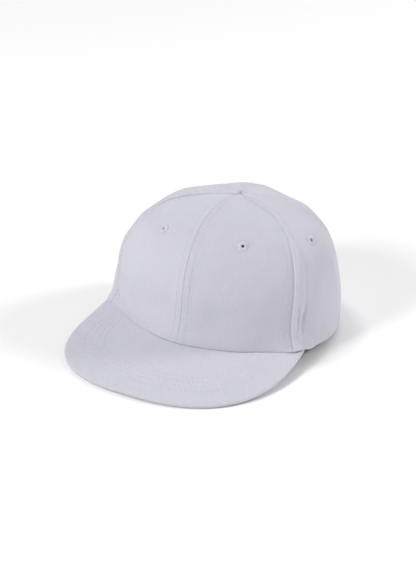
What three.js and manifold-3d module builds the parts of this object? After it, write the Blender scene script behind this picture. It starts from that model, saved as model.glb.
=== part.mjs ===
// Six-panel cloth cap with a flat bill, standing on its bill and its back edge.
// Millimetres, +Z up. The bill points along -Y and the wearer's left is +X.
import * as THREE from 'three';
import Module from 'manifold-3d';
import { mergeVertices } from 'three/addons/utils/BufferGeometryUtils.js';

const DEGREE = Math.PI / 180;

// Gap between neighbouring pieces, and under the crown where it sits on the arched bill
const GAP = 0.3;
const SEAT_GAP = 0.4;

// Head opening in plan: two half ellipses that meet at the sides
const OPENING_HALF_WIDTH = 94.8;
const OPENING_FRONT = 81.4;
const OPENING_BACK = 95.8;

// Point where the six panels meet, with the small dimple round it
const APEX_BACK = 22.6;
const APEX_HEIGHT = 111.8;
const DIMPLE_DEPTH = 4.2;
const DIMPLE_RADIUS = 14.4;
const TIP_RADIUS = 1.5;

// Cloth of the crown
const CLOTH = 1.6;
const PANEL_PUFF = 0.0075;
const PANEL_COLUMNS = 13;
const PANEL_ROWS = 19;

// Angles go round the head in degrees: 0 is the front, 90 the wearer's left.
// Rise goes up the crown: 0 is the lower edge, 90 the apex.
const EDGE_ROWS = [
  { angle: 0, height: 14.6 },
  { angle: 64, height: 11.3 },
  { angle: 100, height: 4.8 },
  { angle: 180, height: 0 },
];
const PROFILE_ROWS = [
  { angle: 0, squareness: 2.9, bulge: -0.059 },
  { angle: 60, squareness: 3.15, bulge: 0.005 },
  { angle: 120, squareness: 2.2, bulge: 0.049 },
  { angle: 180, squareness: 2.35, bulge: 0.03 },
];

// Seams between the panels: lean is how far they bow sideways halfway up,
// and sway how far they go to one side lower down and to the other higher up
const SEAM_ROWS = [
  { angle: -117.7, lean: 1.3, sway: 0 },
  { angle: -54, lean: -6.8, sway: 0 },
  { angle: 0, lean: -0.6, sway: 1.2 },
  { angle: 58, lean: 6, sway: -1.2 },
  { angle: 117.7, lean: -1.3, sway: 0 },
  { angle: 180, lean: 0, sway: 0 },
];

// Corners of the crown that the ends of the bill pull outwards
const FLARE_ROWS = [
  { angle: -67, halfWidth: 13, out: 12.4, fade: 17.5 },
  { angle: 61, halfWidth: 13, out: 8.4, fade: 7.2 },
];

// Soft swells and hollows in the cloth, away from the head where out is positive
const FOLD_ROWS = [
  { angle: -79, halfWidth: 24, rise: 46, halfRise: 14, out: -2.5 },
  { angle: 117, halfWidth: 24, rise: 46, halfRise: 14, out: 4.8 },
  { angle: 68, halfWidth: 5, rise: 14, halfRise: 12, out: -1.4 },
  { angle: 136, halfWidth: 14, rise: 54.5, halfRise: 7, out: 2.3 },
  { angle: -92, halfWidth: 10, rise: 62, halfRise: 5, out: 1.1 },
  { angle: -78, halfWidth: 10, rise: 50, halfRise: 5, out: -0.8 },
  { angle: -71, halfWidth: 10, rise: 38.5, halfRise: 6, out: -1.8 },
  { angle: -66, halfWidth: 8, rise: 12, halfRise: 4.5, out: 0.9 },
  { angle: 0, halfWidth: 58, rise: 13.5, halfRise: 9, out: -3 },
  { angle: 30, halfWidth: 22, rise: 30, halfRise: 15, out: -3 },
  { angle: 30, halfWidth: 24, rise: 60, halfRise: 15, out: 3 },
  { angle: 90, halfWidth: 16, rise: 42, halfRise: 14, out: 2.2 },
];

// Bill: a thin board in cloth, sloping down to the front and slightly arched
const BILL_LENGTH = 71;
const BILL_THICKNESS = 2.8;
const BILL_AT_FRONT = 14.5;
const BILL_SLOPE = 0.15;
const BILL_ARCH = 0.00078;
const BILL_END_ANGLE = 64;
const BILL_TUCK = 3.2;
const BILL_COLUMNS = 56;
const BILL_ROWS = 4;
const BILL_EDGE_STEPS = 4;
const OUTLINE_SIDE_POINTS = 12;
const OUTLINE_SWING_STEP = 3;

// The two sides of the bill differ a little: widest is how far in front of the head's middle
const BILL_RIGHT = { side: -1, halfWidth: 95.5, squareness: 2.45, widest: 69.5 };
const BILL_LEFT = { side: 1, halfWidth: 93.7, squareness: 2.36, widest: 66.2 };

// Behind the bill's ends the lower edge leaves the bill and runs free,
// and at the back it lies flat on the surface
const EDGE_LEAVES_ANGLE = 65.5;
const EDGE_FREE_ANGLE = 71;
const EDGE_LANDS_ANGLE = 130;
const EDGE_FLAT_ANGLE = 150;

// Sewn eyelets: one ring of thread in each panel
const EYELET_HOLE_RADIUS = 1.5;
const EYELET_RADIUS = 4.3;
const EYELET_HALF_THICKNESS = 1.1;
const EYELET_PROFILE_POINTS = 8;
const EYELET_SIDES = 16;
const HOLE_SIDES = 24;
const HOLE_DEPTH = 12;

// Each panel runs from one seam to the next and carries one eyelet
const PANELS = [
  { name: 'side_right', seam: 0, eyeletAngle: -88, eyeletRise: 45.5 },
  { name: 'front_right', seam: 1, eyeletAngle: -28.2, eyeletRise: 46.7 },
  { name: 'front_left', seam: 2, eyeletAngle: 33.2, eyeletRise: 46 },
  { name: 'side_left', seam: 3, eyeletAngle: 85.3, eyeletRise: 45.7 },
  { name: 'back_left', seam: 4, eyeletAngle: 149, eyeletRise: 46 },
  { name: 'back_right', seam: 5, eyeletAngle: 211, eyeletRise: 46 },
];

// Step in degrees for measuring slopes on the crown
const ANGLE_STEP = 0.25;

const CLOTH_COLOUR = 0xc9c7d2;
const THREAD_COLOUR = 0xc4c2ce;
const CLOTH_ROUGHNESS = 0.92;
const THREAD_ROUGHNESS = 0.7;

const wasm = await Module();
wasm.setup();

// Value of a column at any angle: the cubic in cos(angle) through the four rows
function around(rows, column, angle) {
  const place = Math.cos(angle * DEGREE);
  return rows.reduce((sum, row) => {
    const own = Math.cos(row.angle * DEGREE);
    const share = rows.filter((other) => other !== row).reduce((product, other) => {
      const there = Math.cos(other.angle * DEGREE);
      return product * (place - there) / (own - there);
    }, 1);
    return sum + row[column] * share;
  }, 0);
}

// Difference of two angles, from -180 to 180
function turn(angle, from) {
  return THREE.MathUtils.euclideanModulo(angle - from + 180, 360) - 180;
}

function bell(offset, halfWidth) {
  return Math.exp(-((offset / halfWidth) ** 2));
}

function outward(angle) {
  return new THREE.Vector3(Math.sin(angle * DEGREE), -Math.cos(angle * DEGREE), 0);
}

function billTop(x, y) {
  return BILL_AT_FRONT + BILL_SLOPE * (y + OPENING_FRONT) - BILL_ARCH * x * x;
}

// How far the corners stand out at a height above the lower edge
function flareAt(angle, height) {
  return FLARE_ROWS.reduce((sum, row) => (
    sum + row.out * bell(turn(angle, row.angle), row.halfWidth) * Math.exp(-height / row.fade)
  ), 0);
}

function foldAt(angle, rise) {
  return FOLD_ROWS.reduce((sum, row) => (
    sum + row.out * bell(turn(angle, row.angle), row.halfWidth) * bell(rise - row.rise, row.halfRise)
  ), 0);
}

// Plan of the head opening, without the flared corners
function openingPoint(angle) {
  const reach = Math.cos(angle * DEGREE) > 0 ? OPENING_FRONT : OPENING_BACK;
  const way = outward(angle);
  return new THREE.Vector3(OPENING_HALF_WIDTH * way.x, reach * way.y, 0);
}

// Height of the lower edge: on the bill in front, free behind its ends, down at the back
function edgeHeight(angle, x, y) {
  const swing = Math.abs(turn(angle, 0));
  const behind = THREE.MathUtils.smoothstep(swing, EDGE_LEAVES_ANGLE, EDGE_FREE_ANGLE);
  const landed = THREE.MathUtils.smoothstep(swing, EDGE_LANDS_ANGLE, EDGE_FLAT_ANGLE);
  const free = around(EDGE_ROWS, 'height', angle) * (1 - landed);
  return THREE.MathUtils.lerp(billTop(x, y) + SEAT_GAP, free, behind);
}

function edgePoint(angle) {
  const point = openingPoint(angle).addScaledVector(outward(angle), flareAt(angle, 0));
  point.z = edgeHeight(angle, point.x, point.y);
  return point;
}

function seamAngle(index, rise) {
  const row = SEAM_ROWS[index % SEAM_ROWS.length];
  const laps = Math.floor(index / SEAM_ROWS.length);
  const bow = row.lean * Math.sin(2 * rise * DEGREE) + row.sway * Math.sin(4 * rise * DEGREE);
  return row.angle + 360 * laps + bow;
}

// 0 at a seam and 1 in the middle of a panel
function panelMiddle(angle, rise) {
  const place = THREE.MathUtils.euclideanModulo(angle - seamAngle(0, rise), 360) + seamAngle(0, rise);
  let index = 0;
  while (seamAngle(index + 1, rise) <= place) {
    index += 1;
  }
  const from = seamAngle(index, rise);
  const to = seamAngle(index + 1, rise);
  return Math.sin(Math.PI * (place - from) / (to - from));
}

// Outer face of the crown
function crownPoint(angle, rise) {
  const squareness = around(PROFILE_ROWS, 'squareness', angle);
  const slant = Math.atan(Math.tan(rise * DEGREE) ** (squareness / 2));
  const bulge = around(PROFILE_ROWS, 'bulge', angle) + PANEL_PUFF * panelMiddle(angle, rise);
  const reach = Math.cos(slant) ** (2 / squareness) + bulge * Math.sin(2 * slant);
  const climb = Math.sin(slant) ** (2 / squareness);

  const apex = new THREE.Vector3(0, APEX_BACK, 0);
  const low = edgePoint(angle).z;
  const point = apex.clone().lerp(openingPoint(angle), reach);
  point.z = THREE.MathUtils.lerp(low, APEX_HEIGHT, climb);

  const fold = foldAt(angle, rise);
  const flare = flareAt(angle, point.z - low);
  point.addScaledVector(outward(angle), flare + fold * Math.cos(rise * DEGREE));
  point.z += fold * Math.sin(rise * DEGREE);
  const fromApex = Math.hypot(point.x, point.y - APEX_BACK);
  point.z -= DIMPLE_DEPTH * bell(fromApex, DIMPLE_RADIUS);
  return point;
}

function crownNormal(angle, rise) {
  const low = Math.max(rise - ANGLE_STEP, 0);
  const alongEdge = crownPoint(angle + ANGLE_STEP, rise).sub(crownPoint(angle - ANGLE_STEP, rise));
  const upwards = crownPoint(angle, rise + ANGLE_STEP).sub(crownPoint(angle, low));
  return alongEdge.cross(upwards).normalize();
}

// Degrees round the head that cover a length in mm at this place
function degreesFor(length, angle, rise) {
  const span = crownPoint(angle + ANGLE_STEP, rise).distanceTo(crownPoint(angle - ANGLE_STEP, rise));
  return 2 * ANGLE_STEP * length / span;
}

function tipRise(angle) {
  const reach = openingPoint(angle).distanceTo(new THREE.Vector3(0, APEX_BACK, 0));
  return Math.acos(TIP_RADIUS / reach) / DEGREE;
}

// Closed body between two sheets of points that face each other
function bodyBetween(outer, inner) {
  const rows = outer.length;
  const columns = outer[0].length;
  const points = [...outer.flat(), ...inner.flat()];
  const half = rows * columns;
  const triangles = [];
  const quad = (a, b, c, d) => triangles.push(a, b, c, a, c, d);
  const at = (row, column) => row * columns + column;
  for (let row = 0; row < rows - 1; row += 1) {
    for (let column = 0; column < columns - 1; column += 1) {
      const corners = [at(row, column), at(row, column + 1), at(row + 1, column + 1), at(row + 1, column)];
      quad(...corners);
      quad(...corners.map((corner) => corner + half).reverse());
    }
  }
  const wall = (a, b) => quad(a, a + half, b + half, b);
  for (let column = 0; column < columns - 1; column += 1) {
    wall(at(0, column), at(0, column + 1));
    wall(at(rows - 1, column + 1), at(rows - 1, column));
  }
  for (let row = 0; row < rows - 1; row += 1) {
    wall(at(row + 1, 0), at(row, 0));
    wall(at(row, columns - 1), at(row + 1, columns - 1));
  }
  const geometry = new THREE.BufferGeometry().setFromPoints(points);
  geometry.setIndex(triangles);
  return geometry;
}

function toSolid(geometry) {
  const plain = geometry.clone();
  plain.deleteAttribute('normal');
  plain.deleteAttribute('uv');
  const merged = mergeVertices(plain, 1e-4);
  return new wasm.Manifold(new wasm.Mesh({
    numProp: 3,
    vertProperties: Float32Array.from(merged.attributes.position.array),
    triVerts: Uint32Array.from(merged.index.array),
  }));
}

function toGeometry(solid) {
  const mesh = solid.getMesh();
  const geometry = new THREE.BufferGeometry();
  geometry.setAttribute('position', new THREE.BufferAttribute(mesh.vertProperties, mesh.numProp));
  geometry.setIndex(new THREE.BufferAttribute(mesh.triVerts, 1));
  return geometry;
}

function namedMesh(name, geometry, colour, roughness) {
  geometry.computeVertexNormals();
  const material = new THREE.MeshStandardMaterial({ color: colour, roughness, metalness: 0 });
  const mesh = new THREE.Mesh(geometry, material);
  mesh.name = name;
  return mesh;
}

// Turns a shape that stands on +Y so that it stands on the cloth at its eyelet
function eyeletPlace(panel) {
  const normal = crownNormal(panel.eyeletAngle, panel.eyeletRise);
  const middle = crownPoint(panel.eyeletAngle, panel.eyeletRise).addScaledVector(normal, -CLOTH / 2);
  const tilt = new THREE.Quaternion().setFromUnitVectors(new THREE.Vector3(0, 1, 0), normal);
  return new THREE.Matrix4().compose(middle, tilt, new THREE.Vector3(1, 1, 1));
}

function crownPanel(panel) {
  const top = tipRise((seamAngle(panel.seam, 0) + seamAngle(panel.seam + 1, 0)) / 2);
  const outer = [];
  const inner = [];
  for (let row = 0; row <= PANEL_ROWS; row += 1) {
    const rise = top * row / PANEL_ROWS;
    const from = seamAngle(panel.seam, rise);
    const to = seamAngle(panel.seam + 1, rise);
    const low = from + degreesFor(GAP / 2, from, rise);
    const high = to - degreesFor(GAP / 2, to, rise);
    const outerRow = [];
    const innerRow = [];
    for (let column = 0; column <= PANEL_COLUMNS; column += 1) {
      const angle = THREE.MathUtils.lerp(low, high, column / PANEL_COLUMNS);
      const point = crownPoint(angle, rise);
      const inside = point.clone().addScaledVector(crownNormal(angle, rise), -CLOTH);
      if (row === 0) {
        inside.z = edgeHeight(angle, inside.x, inside.y);
      }
      outerRow.push(point);
      innerRow.push(inside);
    }
    outer.push(outerRow);
    inner.push(innerRow);
  }
  const hole = new THREE.CylinderGeometry(
    EYELET_RADIUS + GAP, EYELET_RADIUS + GAP, HOLE_DEPTH, HOLE_SIDES,
  ).applyMatrix4(eyeletPlace(panel));
  const cut = toSolid(bodyBetween(outer, inner)).subtract(toSolid(hole));
  return namedMesh(`crown_panel_${panel.name}`, toGeometry(cut), CLOTH_COLOUR, CLOTH_ROUGHNESS);
}

function eyelet(panel) {
  const middle = (EYELET_RADIUS + EYELET_HOLE_RADIUS) / 2;
  const halfBand = (EYELET_RADIUS - EYELET_HOLE_RADIUS) / 2;
  const profile = [];
  for (let step = 0; step <= EYELET_PROFILE_POINTS; step += 1) {
    const swing = 2 * Math.PI * (step % EYELET_PROFILE_POINTS) / EYELET_PROFILE_POINTS;
    profile.push(new THREE.Vector2(
      middle + halfBand * Math.cos(swing), EYELET_HALF_THICKNESS * Math.sin(swing),
    ));
  }
  const ring = new THREE.LatheGeometry(profile, EYELET_SIDES).applyMatrix4(eyeletPlace(panel));
  return namedMesh(`eyelet_${panel.name}`, toGeometry(toSolid(ring)), THREAD_COLOUR, THREAD_ROUGHNESS);
}

// Outer edge of the bill in plan, from the wearer's right end round the front
function billOutline() {
  const tip = -(OPENING_FRONT + BILL_LENGTH);
  const points = [];
  const behindWidest = (form) => {
    const end = edgePoint(form.side * BILL_END_ANGLE);
    return Array.from({ length: OUTLINE_SIDE_POINTS }, (_, step) => {
      const along = (step + 1) / OUTLINE_SIDE_POINTS;
      return new THREE.Vector3(
        THREE.MathUtils.lerp(form.side * form.halfWidth, end.x, along ** 2),
        THREE.MathUtils.lerp(-form.widest, end.y, along),
        0,
      );
    });
  };
  points.push(...behindWidest(BILL_RIGHT).reverse());
  for (let swing = -90; swing <= 90; swing += OUTLINE_SWING_STEP) {
    const form = swing < 0 ? BILL_RIGHT : BILL_LEFT;
    const across = Math.abs(Math.sin(swing * DEGREE)) ** (2 / form.squareness);
    const forward = Math.max(Math.cos(swing * DEGREE), 0) ** (2 / form.squareness);
    points.push(new THREE.Vector3(
      form.side * form.halfWidth * across,
      THREE.MathUtils.lerp(-form.widest, tip, forward),
      0,
    ));
  }
  points.push(...behindWidest(BILL_LEFT));
  return new THREE.CatmullRomCurve3(points, false, 'centripetal').getSpacedPoints(BILL_COLUMNS);
}

// The section runs over the top, round the outer edge and back under the bottom
function billSection(inner, outer) {
  const radius = BILL_THICKNESS / 2;
  const outwards = outer.clone().sub(inner).normalize();
  const rim = outer.clone().addScaledVector(outwards, -radius);
  const section = [];
  const add = (plan, drop) => section.push(new THREE.Vector3(plan.x, plan.y, billTop(plan.x, plan.y) - drop));
  for (let row = 0; row <= BILL_ROWS; row += 1) {
    add(inner.clone().lerp(rim, row / BILL_ROWS), 0);
  }
  for (let step = 1; step < BILL_EDGE_STEPS; step += 1) {
    const swing = Math.PI * step / BILL_EDGE_STEPS;
    add(rim.clone().addScaledVector(outwards, radius * Math.sin(swing)), radius * (1 - Math.cos(swing)));
  }
  for (let row = BILL_ROWS; row >= 0; row -= 1) {
    add(inner.clone().lerp(rim, row / BILL_ROWS), BILL_THICKNESS);
  }
  return section;
}

// Closed body through sections that follow each other, with flat ends
function bodyThrough(sections) {
  const count = sections[0].length;
  const triangles = [];
  const quad = (a, b, c, d) => triangles.push(a, b, c, a, c, d);
  for (let index = 0; index < sections.length - 1; index += 1) {
    for (let step = 0; step < count; step += 1) {
      const next = (step + 1) % count;
      const here = index * count;
      quad(here + step, here + next, here + count + next, here + count + step);
    }
  }
  const last = (sections.length - 1) * count;
  for (let step = 0; step < count / 2 - 1; step += 1) {
    const across = count - 1 - step;
    quad(step, across, across - 1, step + 1);
    quad(last + step, last + step + 1, last + across - 1, last + across);
  }
  const geometry = new THREE.BufferGeometry().setFromPoints(sections.flat());
  geometry.setIndex(triangles);
  return geometry;
}

function bill() {
  const sections = billOutline().map((outer, index) => {
    const angle = THREE.MathUtils.lerp(-BILL_END_ANGLE, BILL_END_ANGLE, index / BILL_COLUMNS);
    const inner = edgePoint(angle).setZ(0).addScaledVector(outward(angle), -BILL_TUCK);
    return billSection(inner, outer);
  });
  return namedMesh('bill', bodyThrough(sections), CLOTH_COLOUR, CLOTH_ROUGHNESS);
}

const cap = new THREE.Group();
cap.add(bill());
for (const panel of PANELS) {
  cap.add(crownPanel(panel));
  cap.add(eyelet(panel));
}

// The origin is under the middle of the whole cap, on the surface that it stands on
const box = new THREE.Box3().setFromObject(cap);
const middle = box.getCenter(new THREE.Vector3());
cap.position.set(-middle.x, -middle.y, -box.min.z);

export default cap;
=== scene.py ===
import math

import bpy
import numpy as np
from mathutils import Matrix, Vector


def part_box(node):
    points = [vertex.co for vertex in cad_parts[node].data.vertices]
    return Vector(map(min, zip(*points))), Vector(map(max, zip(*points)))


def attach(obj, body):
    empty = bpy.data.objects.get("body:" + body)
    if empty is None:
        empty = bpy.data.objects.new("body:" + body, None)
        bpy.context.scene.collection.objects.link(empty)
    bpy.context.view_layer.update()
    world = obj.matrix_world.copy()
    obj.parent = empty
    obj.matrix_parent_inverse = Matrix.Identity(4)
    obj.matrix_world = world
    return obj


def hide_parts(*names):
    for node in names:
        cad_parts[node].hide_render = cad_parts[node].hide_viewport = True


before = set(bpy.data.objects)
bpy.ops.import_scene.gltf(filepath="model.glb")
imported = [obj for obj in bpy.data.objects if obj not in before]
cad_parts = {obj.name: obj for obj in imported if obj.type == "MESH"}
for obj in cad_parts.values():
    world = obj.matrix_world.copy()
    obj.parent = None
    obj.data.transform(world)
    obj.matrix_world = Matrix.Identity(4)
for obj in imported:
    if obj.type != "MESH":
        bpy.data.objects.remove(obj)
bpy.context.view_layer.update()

MM = 0.001

# Shape of the crown in millimetres: that of the solids, with finer folds, seams and foot. Angles go
# round the head in degrees: 0 is the front, 90 the wearer's left. Rise goes up: 0 is the lower edge,
# 90 the apex.
OPENING_HALF_WIDTH = 94.8
OPENING_FRONT = 81.4
OPENING_BACK = 95.8
APEX_BACK = 22.6
APEX_HEIGHT = 111.8
DIMPLE_DEPTH = 4.2
DIMPLE_RADIUS = 14.4
TIP_RADIUS = 0.12
CLOTH = 1.6
PANEL_PUFF = 0.0075
NEAR_APEX = 89.9

# Lower edge of the crown: how close it sits on the bill, where it lifts a little and where it runs free
SEAT_GAP = 0.08
SEAT_LIFT = {"angle": 53, "half_width": 7, "up": 0.7}
EDGE_LEAVES_ANGLE = 62.5
EDGE_FREE_ANGLE = 71
EDGE_LANDS_ANGLE = 130
EDGE_FLAT_ANGLE = 150
EDGE_ROWS = [
    {"angle": 0, "height": 14.6},
    {"angle": 64, "height": 11.3},
    {"angle": 100, "height": 4.8},
    {"angle": 180, "height": 0},
]
# Upright section of the crown, from the lower edge to the apex
PROFILE_ROWS = [
    {"angle": 0, "squareness": 2.9, "bulge": -0.059},
    {"angle": 60, "squareness": 3.15, "bulge": 0.005},
    {"angle": 120, "squareness": 2.2, "bulge": 0.049},
    {"angle": 180, "squareness": 2.35, "bulge": 0.03},
]
# lean bows a seam halfway up, and sway to one side lower down and to the other higher up. tip turns it
# aside near the apex over the stretch of bend, toe at its foot, and open widens its groove over opening.
SEAM_ROWS = [
    {"name": "side_front_right", "angle": -117.7, "lean": 1.3, "sway": 0, "toe": 0,
     "tip": 0, "bend": (68, 82), "open": 0, "opening": (56, 74)},
    {"name": "front_side_right", "angle": -54, "lean": -6.8, "sway": 0, "toe": -5,
     "tip": 20, "bend": (62, 86), "open": 0.3, "opening": (56, 74)},
    {"name": "front_middle", "angle": 0, "lean": -0.6, "sway": 1.2, "toe": 0,
     "tip": 0, "bend": (68, 82), "open": 0, "opening": (56, 74)},
    {"name": "front_side_left", "angle": 58, "lean": 6, "sway": -1.2, "toe": 0,
     "tip": -15, "bend": (60, 86), "open": 2.6, "opening": (56, 80)},
    {"name": "side_back_left", "angle": 117.7, "lean": -1.3, "sway": 0, "toe": 0,
     "tip": -14, "bend": (40, 84), "open": 1.2, "opening": (46, 58)},
    {"name": "back_middle", "angle": 180, "lean": 0, "sway": 0, "toe": 0,
     "tip": 0, "bend": (68, 82), "open": -0.5, "opening": (56, 74)},
]
TOE_BEND = (0, 9)
# Corners of the crown that the ends of the bill pull outwards
FLARE_ROWS = [
    {"angle": -67, "half_width": 13, "out": 12.4, "fade": 17.5},
    {"angle": 61, "half_width": 13, "out": 8.4, "fade": 7.2},
]
# Soft swells and hollows, away from the head where out is positive
FOLD_ROWS = [
    {"angle": -79, "half_width": 24, "rise": 46, "half_rise": 14, "out": -2.5},
    {"angle": 117, "half_width": 24, "rise": 46, "half_rise": 14, "out": 4.8},
    {"angle": 68, "half_width": 5, "rise": 14, "half_rise": 12, "out": -1.4},
    {"angle": 136, "half_width": 14, "rise": 54.5, "half_rise": 7, "out": 2.3},
    {"angle": -92, "half_width": 10, "rise": 62, "half_rise": 5, "out": 1.1},
    {"angle": -78, "half_width": 10, "rise": 50, "half_rise": 5, "out": -0.8},
    {"angle": -71, "half_width": 10, "rise": 38.5, "half_rise": 6, "out": -1.8},
    {"angle": -66, "half_width": 8, "rise": 12, "half_rise": 4.5, "out": 0.9},
    {"angle": 0, "half_width": 58, "rise": 13.5, "half_rise": 9, "out": -3},
    {"angle": 30, "half_width": 22, "rise": 30, "half_rise": 15, "out": -3},
    {"angle": 30, "half_width": 24, "rise": 60, "half_rise": 15, "out": 3},
    {"angle": 90, "half_width": 16, "rise": 42, "half_rise": 14, "out": 2.2},
    {"angle": 84, "half_width": 9, "rise": 28, "half_rise": 14, "out": -1},
    {"angle": 98, "half_width": 5, "rise": 30, "half_rise": 14, "out": 0.6},
    {"angle": 12, "half_width": 30, "rise": 0, "half_rise": 4.4, "out": 1.5},
    {"angle": 52, "half_width": 12, "rise": 0, "half_rise": 5, "out": 1.1},
    {"angle": -73, "half_width": 14, "rise": 32, "half_rise": 12, "out": 0.9},
    {"angle": -68, "half_width": 12, "rise": 13, "half_rise": 7, "out": 1},
]
# Narrow creases and soft ridges, each a bent line through three places on the crown
CREASE_ROWS = [
    {"start": (82, 78), "middle": (71, 58), "end": (73, 40), "width": 2.4, "out": 0.55},
    {"start": (71, 52), "middle": (64.9, 30), "end": (61.5, 2), "width": 1.7, "out": 0.65},
    {"start": (92, 46), "middle": (97, 27), "end": (101, 4), "width": 4, "out": 0.7},
    {"start": (88, 42), "middle": (77, 28), "end": (74, 12), "width": 5.5, "out": -1.2},
    {"start": (69.6, 23), "middle": (67.4, 13), "end": (63.8, 2), "width": 1.4, "out": -1.4},
    {"start": (64.2, 22), "middle": (63, 11), "end": (61.2, 1), "width": 1.0, "out": -0.9},
]
CREASE_SAMPLES = 40
CREASE_REACH = 80
# The panels, each from its own seam to the next. hole is the radius inside the sewn eyelet, and lean
# tips the eyelet. ribs turns the twill and weave is how deep it shows. The last column scales the
# cloth's colour as painted shade on the front panels and as painted light on the wearer's left side panel.
PANELS = [
    {"name": "side_right", "seam": 0, "eyelet_angle": -88, "eyelet_rise": 45.5, "hole": 0.9, "lean": 0,
     "ribs": -28, "weave": 1.0, "painted_shading": (1, 1, 1)},
    {"name": "front_right", "seam": 1, "eyelet_angle": -28.2, "eyelet_rise": 46.7, "hole": 0.38, "lean": 0,
     "ribs": 28, "weave": 0.7, "painted_shading": (0.968, 0.968, 0.968)},
    {"name": "front_left", "seam": 2, "eyelet_angle": 33.2, "eyelet_rise": 46, "hole": 1.05, "lean": 0,
     "ribs": 28, "weave": 0.82, "painted_shading": (0.942, 0.942, 0.95)},
    {"name": "side_left", "seam": 3, "eyelet_angle": 83, "eyelet_rise": 45.5, "hole": 0.95, "lean": 12,
     "ribs": -28, "weave": 1.15, "painted_shading": (1.008, 1.005, 0.999)},
    {"name": "back_left", "seam": 4, "eyelet_angle": 149, "eyelet_rise": 46, "hole": 0.9, "lean": 0,
     "ribs": 28, "weave": 1.0, "painted_shading": (1, 1, 1)},
    {"name": "back_right", "seam": 5, "eyelet_angle": 211, "eyelet_rise": 46, "hole": 0.9, "lean": 0,
     "ribs": -28, "weave": 1.0, "painted_shading": (1, 1, 1)},
]

# Shape of the bill, as in the solids
BILL_LENGTH = 71
BILL_SIDES = {
    -1: {"half_width": 95.5, "squareness": 2.45, "widest": 69.5},
    1: {"half_width": 93.7, "squareness": 2.36, "widest": 66.2},
}
BILL_THICKNESS = 2.8
BILL_AT_FRONT = 14.5
BILL_SLOPE = 0.15
BILL_ARCH = 0.00078
BILL_END_ANGLE = 64
BILL_TUCK = 3.2
BILL_COLUMNS = 250
BILL_ROWS = 112
BILL_EDGE_STEPS = 12
BILL_SHARP = 60
OUTLINE_POINTS = 1600
OUTLINE_STRIDE = 4
SIDE_SAMPLES = 80
SWING_SAMPLES = 361
PLACES_AT_ONCE = 4000
REACH_ANGLE = 100
REACH_SAMPLES = 801

# Relief of the bill: grooves at its stitch rows, swells between them, slight waves in its cloth, and a
# pinch below the middle of its rounded edge. The lower face has a share of the upper one's relief.
BILL_GROOVE = {"depth": 0.035, "half_width": 0.75}
BILL_SWELL = {"height": 0.05, "half_width": 1.6}
BILL_RIPPLES = [
    {"depth": 0.16, "wavelength": 60, "seed": 21},
    {"depth": 0.05, "wavelength": 19, "seed": 22},
]
BILL_SETTLE = (0.97, 1)
BILL_UNDER_SHARE = 0.8
BILL_PINCH = {"depth": 0.24, "turn": 0.56 * math.pi, "half_width": 0.12 * math.pi}

# Fine grid of a panel: rows up from the lower edge, columns in from each seam
EDGE_MARKS = [0, 0.15, 0.35, 0.6, 1, 1.5, 2.2, 3]
ROW_STEP = 1.02
SEAM_MARKS = [
    0, 0.12, 0.3, 0.5, 0.8, 1.2, 2, 3, 4, 4.6, 5, 5.3, 5.6, 6, 6.6, 7.4, 8.3, 9.2, 10.4, 11.6, 13,
]
NARROW_PANEL = 17
MIDDLE_COLUMNS = 52
FINE_SAMPLES = 240
ANGLE_STEP = 0.25
PANEL_SHARP = 48

# Relief of the sewn seams, in millimetres from the seam
BAND_RISE = 0.09
BAND_ENDS = (5.7, 7.4)
ROLL_DEPTH = 0.42
ROLL_WIDTH = 0.32
ROLL_UNEVEN = 0.45
ROLL_WAVELENGTH = 3.0
ROLL_WAVES = 4
ROLL_SEED = 90
WIDEST_ROLL = 2.7
PUCKER_DEPTH = 0.07
PUCKER_WAVELENGTH = 6.5
PUCKER_WAVES = 5
PUCKER_SEED = 40
PUCKER_ENDS = (1, 8)
STITCH_LINE = 5.3
STITCH_GROOVE = 0.03
STITCH_GROOVE_WIDTH = 0.5
EDGE_ROLL_DEPTH = 0.4
EDGE_ROLL_WIDTH = 0.8

# Slight waves of the cloth inside a panel
CLOTH_RIPPLES = [
    {"depth": 0.28, "wavelength": 46, "seed": 5},
    {"depth": 0.1, "wavelength": 17, "seed": 6},
]
RIPPLE_ENDS = (0, 12)
RIPPLE_LENGTHS = (0.7, 1.5)
RIPPLE_WAVES = 14

# The front panels are stiff and fall off beside their seam, so that it makes a slight edge
MIDDLE_SEAM = 2
FALL_START = 4.6
FALL_DEPTH = 2
FALL_WIDTH = 25
FALL_ENDS = (26, 70)
FALL_FOOT = (-8, 14)
FALL_TOP = (62, 84)
MIDDLE_ROLL = {"share": 0.9, "lost": 0.6, "fade": (60, 76)}

# The wearer's left side panel lies over the front panel at the lower half of their seam
PROUD_SEAM = 3
PROUD_HEIGHT = 1.4
PROUD_WIDTH = (5, 12)
PROUD_FADE = (38, 56)
PROUD_EDGE = {"depth": 0.8, "width": 0.75}
PROUD_RIDGE = {"height": 0.3, "distance": 8.4, "half_width": 1.0, "foot": (1, 5), "top": (24, 38)}
PROUD_LEAST_ROLL = 0.8

# The wearer's right front panel dips to its seam with the side panel
DIP = {"depth": 0.45, "less": 0.15, "fade": (50, 66), "width": (0.5, 6)}

# Grooves where the panels meet, each from one place of angle and rise to another
APEX_SLIT = {"start": (-40, 85.8), "end": (0, NEAR_APEX), "width": 1.4, "depth": 5, "steepness": 1}
APEX_FOLD = {"start": (0, NEAR_APEX), "end": (155, 86.5), "width": 1.1, "depth": 1.6, "steepness": 1}
APEX_PIT = {"start": (-162, 86.6), "end": (-60, 89.2), "width": 2.5, "depth": 3.1, "steepness": 1.2}

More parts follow.
